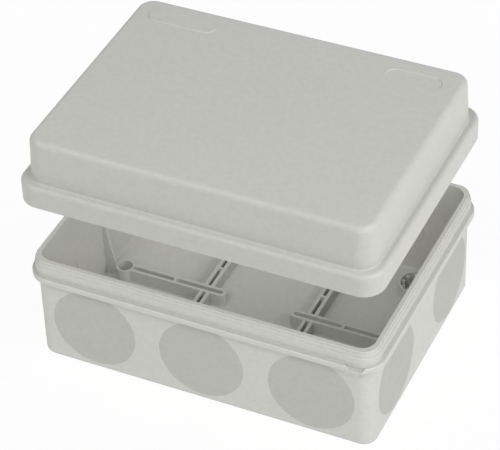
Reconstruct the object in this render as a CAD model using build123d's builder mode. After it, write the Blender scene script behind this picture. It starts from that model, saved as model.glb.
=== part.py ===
from build123d import *
import math
import os

os.makedirs("parts", exist_ok=True)

# Electrical junction box: an open moulded base with ten soft cable entries and a push-on lid.
# X runs along the long side, Y along the short side with the front at -Y, Z is up.
# The origin is the centre of the base's underside. All sizes are in millimetres.

BASE_LENGTH = 150.0
BASE_WIDTH = 110.4
WALL_HEIGHT = 43.0
CORNER_RADIUS = 6.1
BOTTOM_EDGE_RADIUS = 2.5

FLOOR_THICKNESS = 1.6
CAVITY_INSET_BOTTOM = 2.6
CAVITY_INSET_TOP = 1.6
CAVITY_CORNER_RADIUS = 4.8
CAVITY_FLOOR_RADIUS = 0.5

# the rim stands inside the ledge in rounded steps: offset from the wall, then top height
RIM_STEPS = ((1.25, 49.0), (0.85, 50.8), (0.4, 52.0))
RIM_TOP = 52.0
STEP_ROUND = 0.28

LEDGE_OFFSET = 3.1
LEDGE_BOTTOM = 42.4
LEDGE_TOP = 44.9
LEDGE_CORNER_RADIUS = 10.6
LEDGE_ROUND = 0.8

SEAL_OUTER_OFFSET = 2.6
SEAL_BOTTOM = 43.9
SEAL_EDGE_TOP = 45.1
SEAL_FOOT_TOP = 45.6
SEAL_CORNER_RADIUS = 10.1

NOTCH_TOP = ((63.4, 46.0), (73.6, 46.0))
NOTCH_BED = ((70.9, 42.9), (65.9, 42.9))
NOTCH_BACK_OFFSET = 1.9
TAB_LEFT = 64.0
TAB_RIGHT = 70.0
TAB_BOTTOM = 40.0
TAB_OFFSET = 2.0

MEMBRANE_RADIUS = 18.8
MEMBRANE_PLUG_RADIUS = 17.4
MEMBRANE_FLANGE = 0.9
MEMBRANE_HEIGHT = 22.15
MEMBRANE_PITCH = 48.56
MEMBRANE_SIDE_OFFSET = 29.75
ENTRY_REACH = 3.0
RING_RADII = (6.3, 3.6)
RING_WIDTH = 0.5
RING_DEPTH = 0.2

RAIL_TOP = 7.8
LONG_RAIL_WIDTH = 4.7
LONG_RAIL_SLOT = 2.0
LONG_RAIL_TIP = 15.2
LONG_RAIL_BRIDGE = 39.2
CROSS_RAIL_X = 24.1
CROSS_RAIL_WIDTH = 4.5
CROSS_RAIL_SLOT = 1.6
CROSS_RAIL_END = 33.0
CROSS_RAIL_BRIDGE = 14.35
BRIDGE_WIDTH = 1.2
RAIL_WALL = 1.35
RIB_PITCH = 1.2
RIB_WIDTH = 0.6
RIB_DEPTH = 0.2
RIB_COUNT = 24

TUBE_X = 63.3
TUBE_OUTER_RADIUS = 4.1
TUBE_BORE_RADIUS = 3.3
GUSSET_THICKNESS = 1.2
GUSSET_PROFILE = ((66.8, 1.0), (67.7, 7.8), (70.9, 23.2), (73.0, 35.0), (74.2, 35.0), (74.2, 1.0))

BOSS_X = 56.6
BOSS_Y = 38.0
BOSS_OUTER_RADIUS = 7.4
BOSS_INNER_RADIUS = 6.3
BOSS_FINS = 10
FIN_WIDTH = 0.9
FIN_REACH = 4.6
FIN_TOP = 7.0

LID_CLOSED_HEIGHT = 45.7
LID_LIFT = 37.0
LID_HEIGHT = 29.4
SKIRT_OFFSET = 3.0
SKIRT_HEIGHT = 9.9
SKIRT_CORNER_RADIUS = 9.3
SKIRT_INNER_OFFSET = 1.6
SHOULDER_INSET = 3.5
SHOULDER_ROUND = 1.7
SHOULDER_THICKNESS = 1.9
CROWN_FOOT_ROUND = 0.8
CROWN_CORNER_RADIUS = 7.8
CROWN_TAPER = 2.7
CROWN_ROUND = 2.45
CROWN_WALL = 1.9
MARK_WIDTH = 8.8
MARK_STEP = 0.3
PAD_LENGTH = 31.0
PAD_CENTRE = (-50.8, 43.0)
RECESS_LENGTH = 24.2
RECESS_CENTRE = (53.1, 41.4)

# name: wall, distance along it
MEMBRANES = {
    "membrane_front_left": ("front", -MEMBRANE_PITCH),
    "membrane_front_middle": ("front", 0),
    "membrane_front_right": ("front", MEMBRANE_PITCH),
    "membrane_back_left": ("back", -MEMBRANE_PITCH),
    "membrane_back_middle": ("back", 0),
    "membrane_back_right": ("back", MEMBRANE_PITCH),
    "membrane_left_front": ("left", -MEMBRANE_SIDE_OFFSET),
    "membrane_left_back": ("left", MEMBRANE_SIDE_OFFSET),
    "membrane_right_front": ("right", -MEMBRANE_SIDE_OFFSET),
    "membrane_right_back": ("right", MEMBRANE_SIDE_OFFSET),
}


def outline(offset, radius):
    """Rounded rectangle, offset outward from the base's own outline."""
    RectangleRounded(BASE_LENGTH + 2 * offset, BASE_WIDTH + 2 * offset, radius)


def entry_plane(side, along):
    """Plane on a wall's outer face at an entry's centre, with its normal pointing into the box."""
    half_length = BASE_LENGTH / 2
    half_width = BASE_WIDTH / 2
    places = {
        "front": ((along, -half_width), (0, 1, 0)),
        "back": ((along, half_width), (0, -1, 0)),
        "left": ((-half_length, along), (1, 0, 0)),
        "right": ((half_length, along), (-1, 0, 0)),
    }
    (x, y), inward = places[side]
    return Plane(origin=(x, y, MEMBRANE_HEIGHT), x_dir=(0, 0, 1), z_dir=inward)


def notch_cutter():
    """Wedge-sided pry notch in the front ledge near the right corner."""
    with BuildPart() as cutter:
        with BuildSketch(Plane.XZ.offset(BASE_WIDTH / 2 - 3)):
            with BuildLine():
                Polyline(*NOTCH_TOP, *NOTCH_BED, close=True)
            make_face()
        extrude(amount=9)
        with BuildSketch(Plane.XY.offset(LEDGE_BOTTOM - 1)):
            outline(NOTCH_BACK_OFFSET, CORNER_RADIUS + NOTCH_BACK_OFFSET)
        extrude(amount=6, mode=Mode.SUBTRACT)
    return cutter.part


def tub_space():
    """The space inside the walls, slightly wider at the top."""
    with BuildPart() as space:
        with BuildSketch(Plane.XY.offset(FLOOR_THICKNESS)):
            outline(-CAVITY_INSET_BOTTOM, CAVITY_CORNER_RADIUS)
        extrude(amount=RIM_TOP - FLOOR_THICKNESS, taper=-math.degrees(math.atan(WALL_SLOPE)))
        fillet(space.faces().sort_by(Axis.Z)[0].edges(), CAVITY_FLOOR_RADIUS)
    return space.part


WALL_SLOPE = (CAVITY_INSET_BOTTOM - CAVITY_INSET_TOP) / (RIM_TOP - FLOOR_THICKNESS)
WALL_AT_ENTRY = CAVITY_INSET_BOTTOM - WALL_SLOPE * (MEMBRANE_HEIGHT - FLOOR_THICKNESS)
NOTCH = notch_cutter()
TUB = tub_space()

with BuildPart() as base_body:
    with BuildSketch(Plane.XY):
        outline(0, CORNER_RADIUS)
    extrude(amount=WALL_HEIGHT)
    fillet(base_body.faces().sort_by(Axis.Z)[0].edges(), BOTTOM_EDGE_RADIUS)

    # ledge round the top of the walls, with its pry notch
    with BuildSketch(Plane.XY.offset(LEDGE_BOTTOM)):
        outline(LEDGE_OFFSET, LEDGE_CORNER_RADIUS)
    extrude(amount=LEDGE_TOP - LEDGE_BOTTOM)
    fillet(base_body.faces().sort_by(Axis.Z)[-1].outer_wire().edges(), LEDGE_ROUND)
    add(NOTCH, mode=Mode.SUBTRACT)
    with BuildSketch(Plane.XY.offset(TAB_BOTTOM)):
        with Locations(((TAB_LEFT + TAB_RIGHT) / 2, -BASE_WIDTH / 2)):
            Rectangle(TAB_RIGHT - TAB_LEFT, 2 * TAB_OFFSET)
    extrude(amount=LEDGE_BOTTOM - TAB_BOTTOM)

    # stepped rim
    for step_offset, step_top in RIM_STEPS:
        with BuildSketch(Plane.XY.offset(LEDGE_BOTTOM)):
            outline(step_offset, CORNER_RADIUS + step_offset)
        extrude(amount=step_top - LEDGE_BOTTOM)
        fillet(base_body.faces().sort_by(Axis.Z)[-1].outer_wire().edges(), STEP_ROUND)

    # seat for the rim seal
    with BuildSketch(Plane.XY.offset(SEAL_BOTTOM)):
        outline(SEAL_OUTER_OFFSET, SEAL_CORNER_RADIUS)
        with BuildSketch(mode=Mode.SUBTRACT):
            outline(RIM_STEPS[0][0], CORNER_RADIUS + RIM_STEPS[0][0])
    extrude(amount=LEDGE_TOP - SEAL_BOTTOM, mode=Mode.SUBTRACT)

    add(TUB, mode=Mode.SUBTRACT)

    # rails, tubes and corner bosses on the floor
    with BuildSketch(Plane.XY.offset(FLOOR_THICKNESS / 2)):
        for side in (-1, 1):
            with Locations((side * (LONG_RAIL_TIP + TUBE_X) / 2, 0)):
                SlotOverall(TUBE_X - LONG_RAIL_TIP, LONG_RAIL_WIDTH)
            with Locations((side * CROSS_RAIL_X, 0)):
                Rectangle(CROSS_RAIL_WIDTH, 2 * CROSS_RAIL_END)
            rib_x = side * CROSS_RAIL_X + CROSS_RAIL_WIDTH / 2
            for end in (-1, 1):
                for index in range(RIB_COUNT):
                    with Locations((rib_x, end * (3.4 + index * RIB_PITCH))):
                        Rectangle(2 * RIB_DEPTH, RIB_WIDTH)
            with Locations((side * TUBE_X, 0)):
                Circle(TUBE_OUTER_RADIUS)
            with Locations((side * BOSS_X, -BOSS_Y), (side * BOSS_X, BOSS_Y)):
                Circle(BOSS_OUTER_RADIUS)
        # slots and bores
        for side in (-1, 1):
            inner_start = LONG_RAIL_TIP + RAIL_WALL
            inner_end = LONG_RAIL_BRIDGE - BRIDGE_WIDTH / 2
            outer_start = LONG_RAIL_BRIDGE + BRIDGE_WIDTH / 2
            outer_end = TUBE_X - TUBE_OUTER_RADIUS + 0.2
            with Locations((side * (inner_start + inner_end) / 2, 0)):
                SlotOverall(inner_end - inner_start, LONG_RAIL_SLOT, mode=Mode.SUBTRACT)
            with Locations((side * (outer_start + outer_end) / 2, 0)):
                Rectangle(outer_end - outer_start, LONG_RAIL_SLOT, mode=Mode.SUBTRACT)
            for end in (-1, 1):
                near_start = LONG_RAIL_WIDTH / 2
                near_end = CROSS_RAIL_BRIDGE - BRIDGE_WIDTH / 2
                far_start = CROSS_RAIL_BRIDGE + BRIDGE_WIDTH / 2
                far_end = CROSS_RAIL_END - RAIL_WALL
                with Locations((side * CROSS_RAIL_X, end * (near_start + near_end) / 2)):
                    Rectangle(CROSS_RAIL_SLOT, near_end - near_start, mode=Mode.SUBTRACT)
                with Locations((side * CROSS_RAIL_X, end * (far_start + far_end) / 2)):
                    Rectangle(CROSS_RAIL_SLOT, far_end - far_start, mode=Mode.SUBTRACT)
            with Locations((side * TUBE_X, 0)):
                Circle(TUBE_BORE_RADIUS, mode=Mode.SUBTRACT)
            with Locations((side * BOSS_X, -BOSS_Y), (side * BOSS_X, BOSS_Y)):
                Circle(BOSS_INNER_RADIUS, mode=Mode.SUBTRACT)
    extrude(amount=RAIL_TOP - FLOOR_THICKNESS / 2)

    # grip fins inside the corner bosses
    fin_length = BOSS_INNER_RADIUS + 0.3 - FIN_REACH
    with BuildSketch(Plane.XY.offset(FLOOR_THICKNESS / 2)):
        for boss_x in (-BOSS_X, BOSS_X):
            for boss_y in (-BOSS_Y, BOSS_Y):
                with Locations((boss_x, boss_y)):
                    with PolarLocations(FIN_REACH + fin_length / 2, BOSS_FINS):
                        Rectangle(fin_length, FIN_WIDTH)
    extrude(amount=FIN_TOP - FLOOR_THICKNESS / 2)

    # gusset between each tube and the end wall
    for side in (-1, 1):
        with BuildSketch(Plane.XZ):
            with BuildLine():
                Polyline(*[(side * x, z) for x, z in GUSSET_PROFILE], close=True)
            make_face()
        extrude(amount=GUSSET_THICKNESS / 2, both=True)

    # stepped openings for the soft entries
    for side, along in MEMBRANES.values():
        with BuildSketch(entry_plane(side, along)):
            Circle(MEMBRANE_RADIUS)
        extrude(amount=MEMBRANE_FLANGE, mode=Mode.SUBTRACT)
        with BuildSketch(entry_plane(side, along)):
            Circle(MEMBRANE_PLUG_RADIUS)
        extrude(amount=ENTRY_REACH, mode=Mode.SUBTRACT)

base_body.part.label = "base_body"
export_step(base_body.part, "parts/base_body.step")

for name, (side, along) in MEMBRANES.items():
    with BuildPart() as membrane:
        with BuildSketch(entry_plane(side, along)):
            Circle(MEMBRANE_RADIUS)
        extrude(amount=MEMBRANE_FLANGE)
        with BuildSketch(entry_plane(side, along)):
            Circle(MEMBRANE_PLUG_RADIUS)
        extrude(amount=ENTRY_REACH)
        # the plug ends flush with the wall's inner face
        add(TUB, mode=Mode.SUBTRACT)
        with BuildSketch(entry_plane(side, along).offset(WALL_AT_ENTRY - RING_DEPTH)):
            for ring_radius in RING_RADII:
                Circle(ring_radius)
                Circle(ring_radius - RING_WIDTH, mode=Mode.SUBTRACT)
        extrude(amount=ENTRY_REACH, mode=Mode.SUBTRACT)
    membrane.part.label = name
    export_step(membrane.part, f"parts/{name}.step")

with BuildPart() as rim_seal:
    with BuildSketch(Plane.XY.offset(SEAL_BOTTOM)):
        outline(SEAL_OUTER_OFFSET, SEAL_CORNER_RADIUS)
    extrude(amount=SEAL_EDGE_TOP - SEAL_BOTTOM)
    with BuildSketch(Plane.XY.offset(SEAL_EDGE_TOP)):
        outline(SEAL_OUTER_OFFSET - 0.2, SEAL_CORNER_RADIUS - 0.2)
    extrude(amount=SEAL_FOOT_TOP - SEAL_EDGE_TOP, taper=65)
    with BuildSketch(Plane.XY.offset(SEAL_BOTTOM)):
        outline(RIM_STEPS[0][0], CORNER_RADIUS + RIM_STEPS[0][0])
    extrude(amount=SEAL_FOOT_TOP - SEAL_BOTTOM, mode=Mode.SUBTRACT)
    add(NOTCH, mode=Mode.SUBTRACT)
rim_seal.part.label = "rim_seal"
export_step(rim_seal.part, "parts/rim_seal.step")

LID_BOTTOM = LID_CLOSED_HEIGHT + LID_LIFT

with BuildPart() as lid:
    with BuildSketch(Plane.XY.offset(LID_BOTTOM)):
        outline(SKIRT_OFFSET, SKIRT_CORNER_RADIUS)
    extrude(amount=SKIRT_HEIGHT)
    fillet(lid.faces().sort_by(Axis.Z)[-1].edges(), SHOULDER_ROUND)

    with BuildSketch(Plane.XY.offset(LID_BOTTOM + SKIRT_HEIGHT)):
        outline(SKIRT_OFFSET - SHOULDER_INSET, CROWN_CORNER_RADIUS)
    extrude(amount=LID_HEIGHT - SKIRT_HEIGHT, taper=CROWN_TAPER)
    fillet(lid.faces().sort_by(Axis.Z)[-1].edges(), CROWN_ROUND)
    shoulder = lid.faces().filter_by(Axis.Z).sort_by(Axis.Z)[-2]
    fillet(shoulder.inner_wires().edges(), CROWN_FOOT_ROUND)

    # hollow underside
    with BuildSketch(Plane.XY.offset(LID_BOTTOM)):
        outline(SKIRT_INNER_OFFSET, CORNER_RADIUS + SKIRT_INNER_OFFSET)
    extrude(amount=SKIRT_HEIGHT - SHOULDER_THICKNESS, mode=Mode.SUBTRACT)
    with BuildSketch(Plane.XY.offset(LID_BOTTOM + SKIRT_HEIGHT)):
        outline(SKIRT_OFFSET - SHOULDER_INSET - CROWN_WALL, CROWN_CORNER_RADIUS - CROWN_WALL)
    extrude(amount=LID_HEIGHT - SKIRT_HEIGHT - CROWN_WALL, taper=CROWN_TAPER, mode=Mode.SUBTRACT)
    with BuildSketch(Plane.XY.offset(LID_BOTTOM)):
        outline(SKIRT_OFFSET - SHOULDER_INSET - CROWN_WALL, CROWN_CORNER_RADIUS - CROWN_WALL)
    extrude(amount=SKIRT_HEIGHT, mode=Mode.SUBTRACT)

    # low pad and shallow recess near the back edge, both with sloped sides
    with BuildSketch(Plane.XY.offset(LID_BOTTOM + LID_HEIGHT)):
        with Locations(PAD_CENTRE):
            SlotOverall(PAD_LENGTH, MARK_WIDTH)
    extrude(amount=MARK_STEP, taper=45)
    with BuildSketch(Plane.XY.offset(LID_BOTTOM + LID_HEIGHT - MARK_STEP)):
        with Locations(RECESS_CENTRE):
            SlotOverall(RECESS_LENGTH - 2 * MARK_STEP, MARK_WIDTH - 2 * MARK_STEP)
    extrude(amount=MARK_STEP, taper=-45, mode=Mode.SUBTRACT)
lid.part.label = "lid"
export_step(lid.part, "parts/lid.step")

for made in (base_body, rim_seal, lid):
    box = made.part.bounding_box()
    print(made.part.label, made.part.is_valid, len(made.part.solids()), round(made.part.volume), box.min, box.max)
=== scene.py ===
import math

import bpy
from mathutils import Matrix, Vector

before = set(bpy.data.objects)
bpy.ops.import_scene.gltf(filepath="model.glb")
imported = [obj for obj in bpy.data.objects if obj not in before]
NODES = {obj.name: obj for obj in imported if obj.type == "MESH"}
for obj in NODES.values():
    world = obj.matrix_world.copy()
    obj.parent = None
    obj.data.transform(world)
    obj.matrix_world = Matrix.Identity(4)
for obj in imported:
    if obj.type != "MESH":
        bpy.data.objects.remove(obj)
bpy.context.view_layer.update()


scene = bpy.context.scene

# ---------------------------------------------------------------- materials

# a base node's faces lie inside the box up to these distances from its middle, and outside it beyond them
INSIDE_HALF_LENGTH = 0.0738
INSIDE_HALF_WIDTH = 0.054

FLOW_SCALE = 22.0
SPECK_SCALE = 420.0
SCUFF_SCALE = 60.0
WAVE_SCALE = 35.0
WAVE_STRENGTH = 0.12
WAVE_DEPTH = 0.0004
GRAIN_STRENGTH = 0.5


def grey(value):
    """A neutral colour."""
    return (value, value, value)


class Shader:
    """Small helper that adds and links nodes in one material."""

    def __init__(self, name):
        self.material = bpy.data.materials.new(name)
        self.material.use_nodes = True
        self.tree = self.material.node_tree
        self.principled = self.tree.nodes["Principled BSDF"]
        self.coords = self.add("ShaderNodeTexCoord")

    def add(self, kind, **settings):
        """A new node with its settings."""
        node = self.tree.nodes.new(kind)
        for key, value in settings.items():
            setattr(node, key, value)
        return node

    def link(self, source, target):
        """Joins an output to an input."""
        self.tree.links.new(source, target)

    def noise(self, scale, detail=3.0, roughness=0.5, stretch=None):
        """Noise in object space, optionally stretched along the axes."""
        node = self.add("ShaderNodeTexNoise")
        node.inputs["Scale"].default_value = scale
        node.inputs["Detail"].default_value = detail
        node.inputs["Roughness"].default_value = roughness
        if stretch:
            mapping = self.add("ShaderNodeMapping")
            mapping.inputs["Scale"].default_value = stretch
            self.link(self.coords.outputs["Object"], mapping.inputs["Vector"])
            self.link(mapping.outputs["Vector"], node.inputs["Vector"])
        else:
            self.link(self.coords.outputs["Object"], node.inputs["Vector"])
        return node.outputs["Fac"]

    def ramp(self, source, stops):
        """Colour ramp from (position, colour) stops."""
        node = self.add("ShaderNodeValToRGB")
        elements = node.color_ramp.elements
        while len(elements) < len(stops):
            elements.new(0.5)
        for element, (position, colour) in zip(elements, stops):
            element.position = position
            element.color = (*colour, 1.0)
        self.link(source, node.inputs["Fac"])
        return node.outputs["Color"]

    def spread(self, source, low, high):
        """Maps 0.3..0.7 of a noise to low..high."""
        node = self.add("ShaderNodeMapRange")
        node.inputs["From Min"].default_value = 0.3
        node.inputs["From Max"].default_value = 0.7
        node.inputs["To Min"].default_value = low
        node.inputs["To Max"].default_value = high
        self.link(source, node.inputs["Value"])
        return node.outputs["Result"]

    def mix(self, factor, first, second, blend="MIX"):
        """Mixes two colours, each a plain colour or an output."""
        node = self.add("ShaderNodeMix", data_type="RGBA", blend_type=blend)
        if isinstance(factor, float):
            node.inputs[0].default_value = factor
        else:
            self.link(factor, node.inputs[0])
        for socket, value in ((node.inputs[6], first), (node.inputs[7], second)):
            if isinstance(value, tuple):
                socket.default_value = (*value, 1.0)
            else:
                self.link(value, socket)
        return node.outputs[2]

    def multiply(self, first, second):
        """Product of two colours."""
        return self.mix(1.0, first, second, "MULTIPLY")

    def calculate(self, operation, first, second=0.0):
        """One math step on two values, each a plain number or an output."""
        node = self.add("ShaderNodeMath", operation=operation)
        for socket, value in zip(node.inputs, (first, second)):
            if isinstance(value, float):
                socket.default_value = value
            else:
                self.link(value, socket)
        return node.outputs["Value"]

    def outside(self, half_x, half_y):
        """1 beyond half_x or half_y from the middle, 0 between them."""
        split = self.add("ShaderNodeSeparateXYZ")
        self.link(self.coords.outputs["Object"], split.inputs["Vector"])
        far_x = self.calculate("GREATER_THAN", self.calculate("ABSOLUTE", split.outputs["X"]), half_x)
        far_y = self.calculate("GREATER_THAN", self.calculate("ABSOLUTE", split.outputs["Y"]), half_y)
        return self.calculate("MAXIMUM", far_x, far_y)

    def bump(self, height, strength, distance, below=None):
        """Bump normal, optionally on top of another one."""
        node = self.add("ShaderNodeBump")
        node.inputs["Strength"].default_value = strength
        node.inputs["Distance"].default_value = distance
        self.link(height, node.inputs["Height"])
        if below:
            self.link(below, node.inputs["Normal"])
        return node.outputs["Normal"]


def moulded_plastic(name, colour, roughness, grain_scale, grain_depth, specular, inner_colour=None):
    """Moulded plastic: faint flow marks in the colour, a fine eroded grain and slow surface waves."""
    sh = Shader(name)
    base = colour
    if inner_colour:
        base = sh.mix(sh.outside(INSIDE_HALF_LENGTH, INSIDE_HALF_WIDTH), inner_colour, colour)
    flow = sh.noise(FLOW_SCALE, 4.0, 0.55, stretch=(1.0, 1.5, 0.7))
    marks = sh.ramp(flow, ((0.3, grey(0.97)), (0.5, grey(0.98)), (0.72, grey(0.99))))
    fine = sh.noise(SPECK_SCALE, 3.0, 0.6)
    speck = sh.ramp(fine, ((0.35, grey(0.955)), (0.6, grey(1.0))))
    sh.link(sh.multiply(sh.multiply(base, marks), speck), sh.principled.inputs["Base Color"])

    scuff = sh.noise(SCUFF_SCALE, 5.0, 0.6, stretch=(1.0, 1.0, 2.5))
    sh.link(sh.spread(scuff, roughness - 0.05, roughness + 0.06), sh.principled.inputs["Roughness"])
    sh.principled.inputs["Specular IOR Level"].default_value = specular

    waves = sh.bump(sh.noise(WAVE_SCALE, 2.0, 0.4), WAVE_STRENGTH, WAVE_DEPTH)
    grain = sh.bump(sh.noise(grain_scale, 2.0, 0.5), GRAIN_STRENGTH, grain_depth, waves)
    sh.link(grain, sh.principled.inputs["Normal"])
    return sh.material


HOUSING = moulded_plastic(
    "housing_plastic",
    colour=(0.51, 0.51, 0.481),
    roughness=0.46,
    grain_scale=2600.0,
    grain_depth=0.00004,
    specular=0.4,
)
# on their inner side the entries hardly stand out from the wall
SOFT = moulded_plastic(
    "soft_membrane",
    colour=(0.42, 0.418, 0.394),
    roughness=0.62,
    grain_scale=1800.0,
    grain_depth=0.00005,
    specular=0.3,
    inner_colour=(0.52, 0.51, 0.478),
)

for node_name, node in NODES.items():
    material = HOUSING if node_name in ("base_body", "lid") else SOFT
    node.data.materials.clear()
    node.data.materials.append(material)

# ---------------------------------------------------------------- floor and light

FLOOR_HALF_SIZE = 6.0
FLOOR_DROP = 0.0002
FLOOR_GLOW = 0.85
SKY_STRENGTH = 0.45
LIGHT_TARGET = Vector((0.0, 0.0, 0.05))
LIGHT_DISTANCE = 1.3


def pale_floor():
    """A wide pale floor just below the box, with a faint paper grain, lit so that it stays white."""
    mesh = bpy.data.meshes.new("floor")
    corners = [(x, y, -FLOOR_DROP) for x, y in ((-1, -1), (1, -1), (1, 1), (-1, 1))]
    corners = [(x * FLOOR_HALF_SIZE, y * FLOOR_HALF_SIZE, z) for x, y, z in corners]
    mesh.from_pydata(corners, [], [(0, 1, 2, 3)])
    floor = bpy.data.objects.new("floor", mesh)
    scene.collection.objects.link(floor)
    sh = Shader("floor_paper")
    paper = sh.ramp(sh.noise(300.0, 3.0, 0.6), ((0.3, grey(0.29)), (0.7, grey(0.31))))
    sh.link(paper, sh.principled.inputs["Base Color"])
    sh.principled.inputs["Roughness"].default_value = 0.9
    sh.principled.inputs["Specular IOR Level"].default_value = 0.1
    sh.principled.inputs["Emission Color"].default_value = (1.0, 1.0, 1.0, 1.0)
    sh.principled.inputs["Emission Strength"].default_value = FLOOR_GLOW
    mesh.materials.append(sh.material)


def group(name, objects):
    """A collection that lights are linked to."""
    collection = bpy.data.collections.new(name)
    for item in objects:
        collection.objects.link(item)
    return collection


def area_light(name, direction, size, power, receivers, blockers=None):
    """A soft panel aimed at the object; receivers and blockers limit what it lights and what shades it."""
    data = bpy.data.lights.new(name, "AREA")
    data.shape = "RECTANGLE"
    data.size, data.size_y = size
    data.energy = power
    lamp = bpy.data.objects.new(name, data)
    scene.collection.objects.link(lamp)
    away = Vector(direction).normalized()
    lamp.location = LIGHT_TARGET + away * LIGHT_DISTANCE
    lamp.rotation_mode = "QUATERNION"
    lamp.rotation_quaternion = (-away).to_track_quat("-Z", "Y")
    lamp.light_linking.receiver_collection = receivers
    lamp.light_linking.blocker_collection = blockers


pale_floor()

world = bpy.data.worlds.new("studio")
scene.world = world
world.use_nodes = True
background = world.node_tree.nodes["Background"]
background.inputs["Color"].default_value = (1.0, 1.0, 1.0, 1.0)
background.inputs["Strength"].default_value = SKY_STRENGTH

# the base has lights of its own that the lid above it doesn't block
lid_group = group("lit_lid", [NODES["lid"]])
base_group = group("lit_base", [node for name, node in NODES.items() if name != "lid"])

area_light("lid_right", (0.8, -0.2, 0.56), (1.1, 0.9), 12.2, lid_group)
area_light("lid_top", (-0.3, -0.45, 0.84), (1.2, 1.0), 6.3, lid_group)
area_light("base_right", (0.87, -0.1, 0.48), (1.0, 0.8), 9.8, base_group, base_group)
area_light("base_front", (0.1, -0.67, 0.73), (1.0, 0.7), 9.8, base_group, base_group)

scene.view_settings.view_transform = "Standard"

# ---------------------------------------------------------------- camera

# angles in degrees, aim point and distance in metres, lens and sensor in mm, shift in sensor widths
AZIMUTH, ELEVATION, ROLL = 25.75, 39.38, -2.09
AIM = Vector((-0.015224, 0.035057, 0.030))
DISTANCE = 1.027912
SENSOR = 36.0
LENS = 171.608
SHIFT_X, SHIFT_Y = -0.01639, -0.03952
CLIP_START, CLIP_END = 0.01, 20.0

az, el, roll = (math.radians(angle) for angle in (AZIMUTH, ELEVATION, ROLL))
back = Vector((math.sin(az) * math.cos(el), -math.cos(az) * math.cos(el), math.sin(el)))
right = (-back).cross(Vector((0.0, 0.0, 1.0))).normalized()
up = right.cross(-back)
rolled_right = math.cos(roll) * right + math.sin(roll) * up
rolled_up = -math.sin(roll) * right + math.cos(roll) * up
turn = Matrix((rolled_right, rolled_up, back)).transposed()

camera_data = bpy.data.cameras.new("camera")
camera_data.sensor_width = SENSOR
camera_data.lens = LENS
camera_data.shift_x = SHIFT_X
camera_data.shift_y = SHIFT_Y
camera_data.clip_start = CLIP_START
camera_data.clip_end = CLIP_END
camera = bpy.data.objects.new("camera", camera_data)
scene.collection.objects.link(camera)
camera.rotation_mode = "QUATERNION"
camera.location = AIM + back * DISTANCE
camera.rotation_quaternion = turn.to_quaternion()
scene.camera = camera
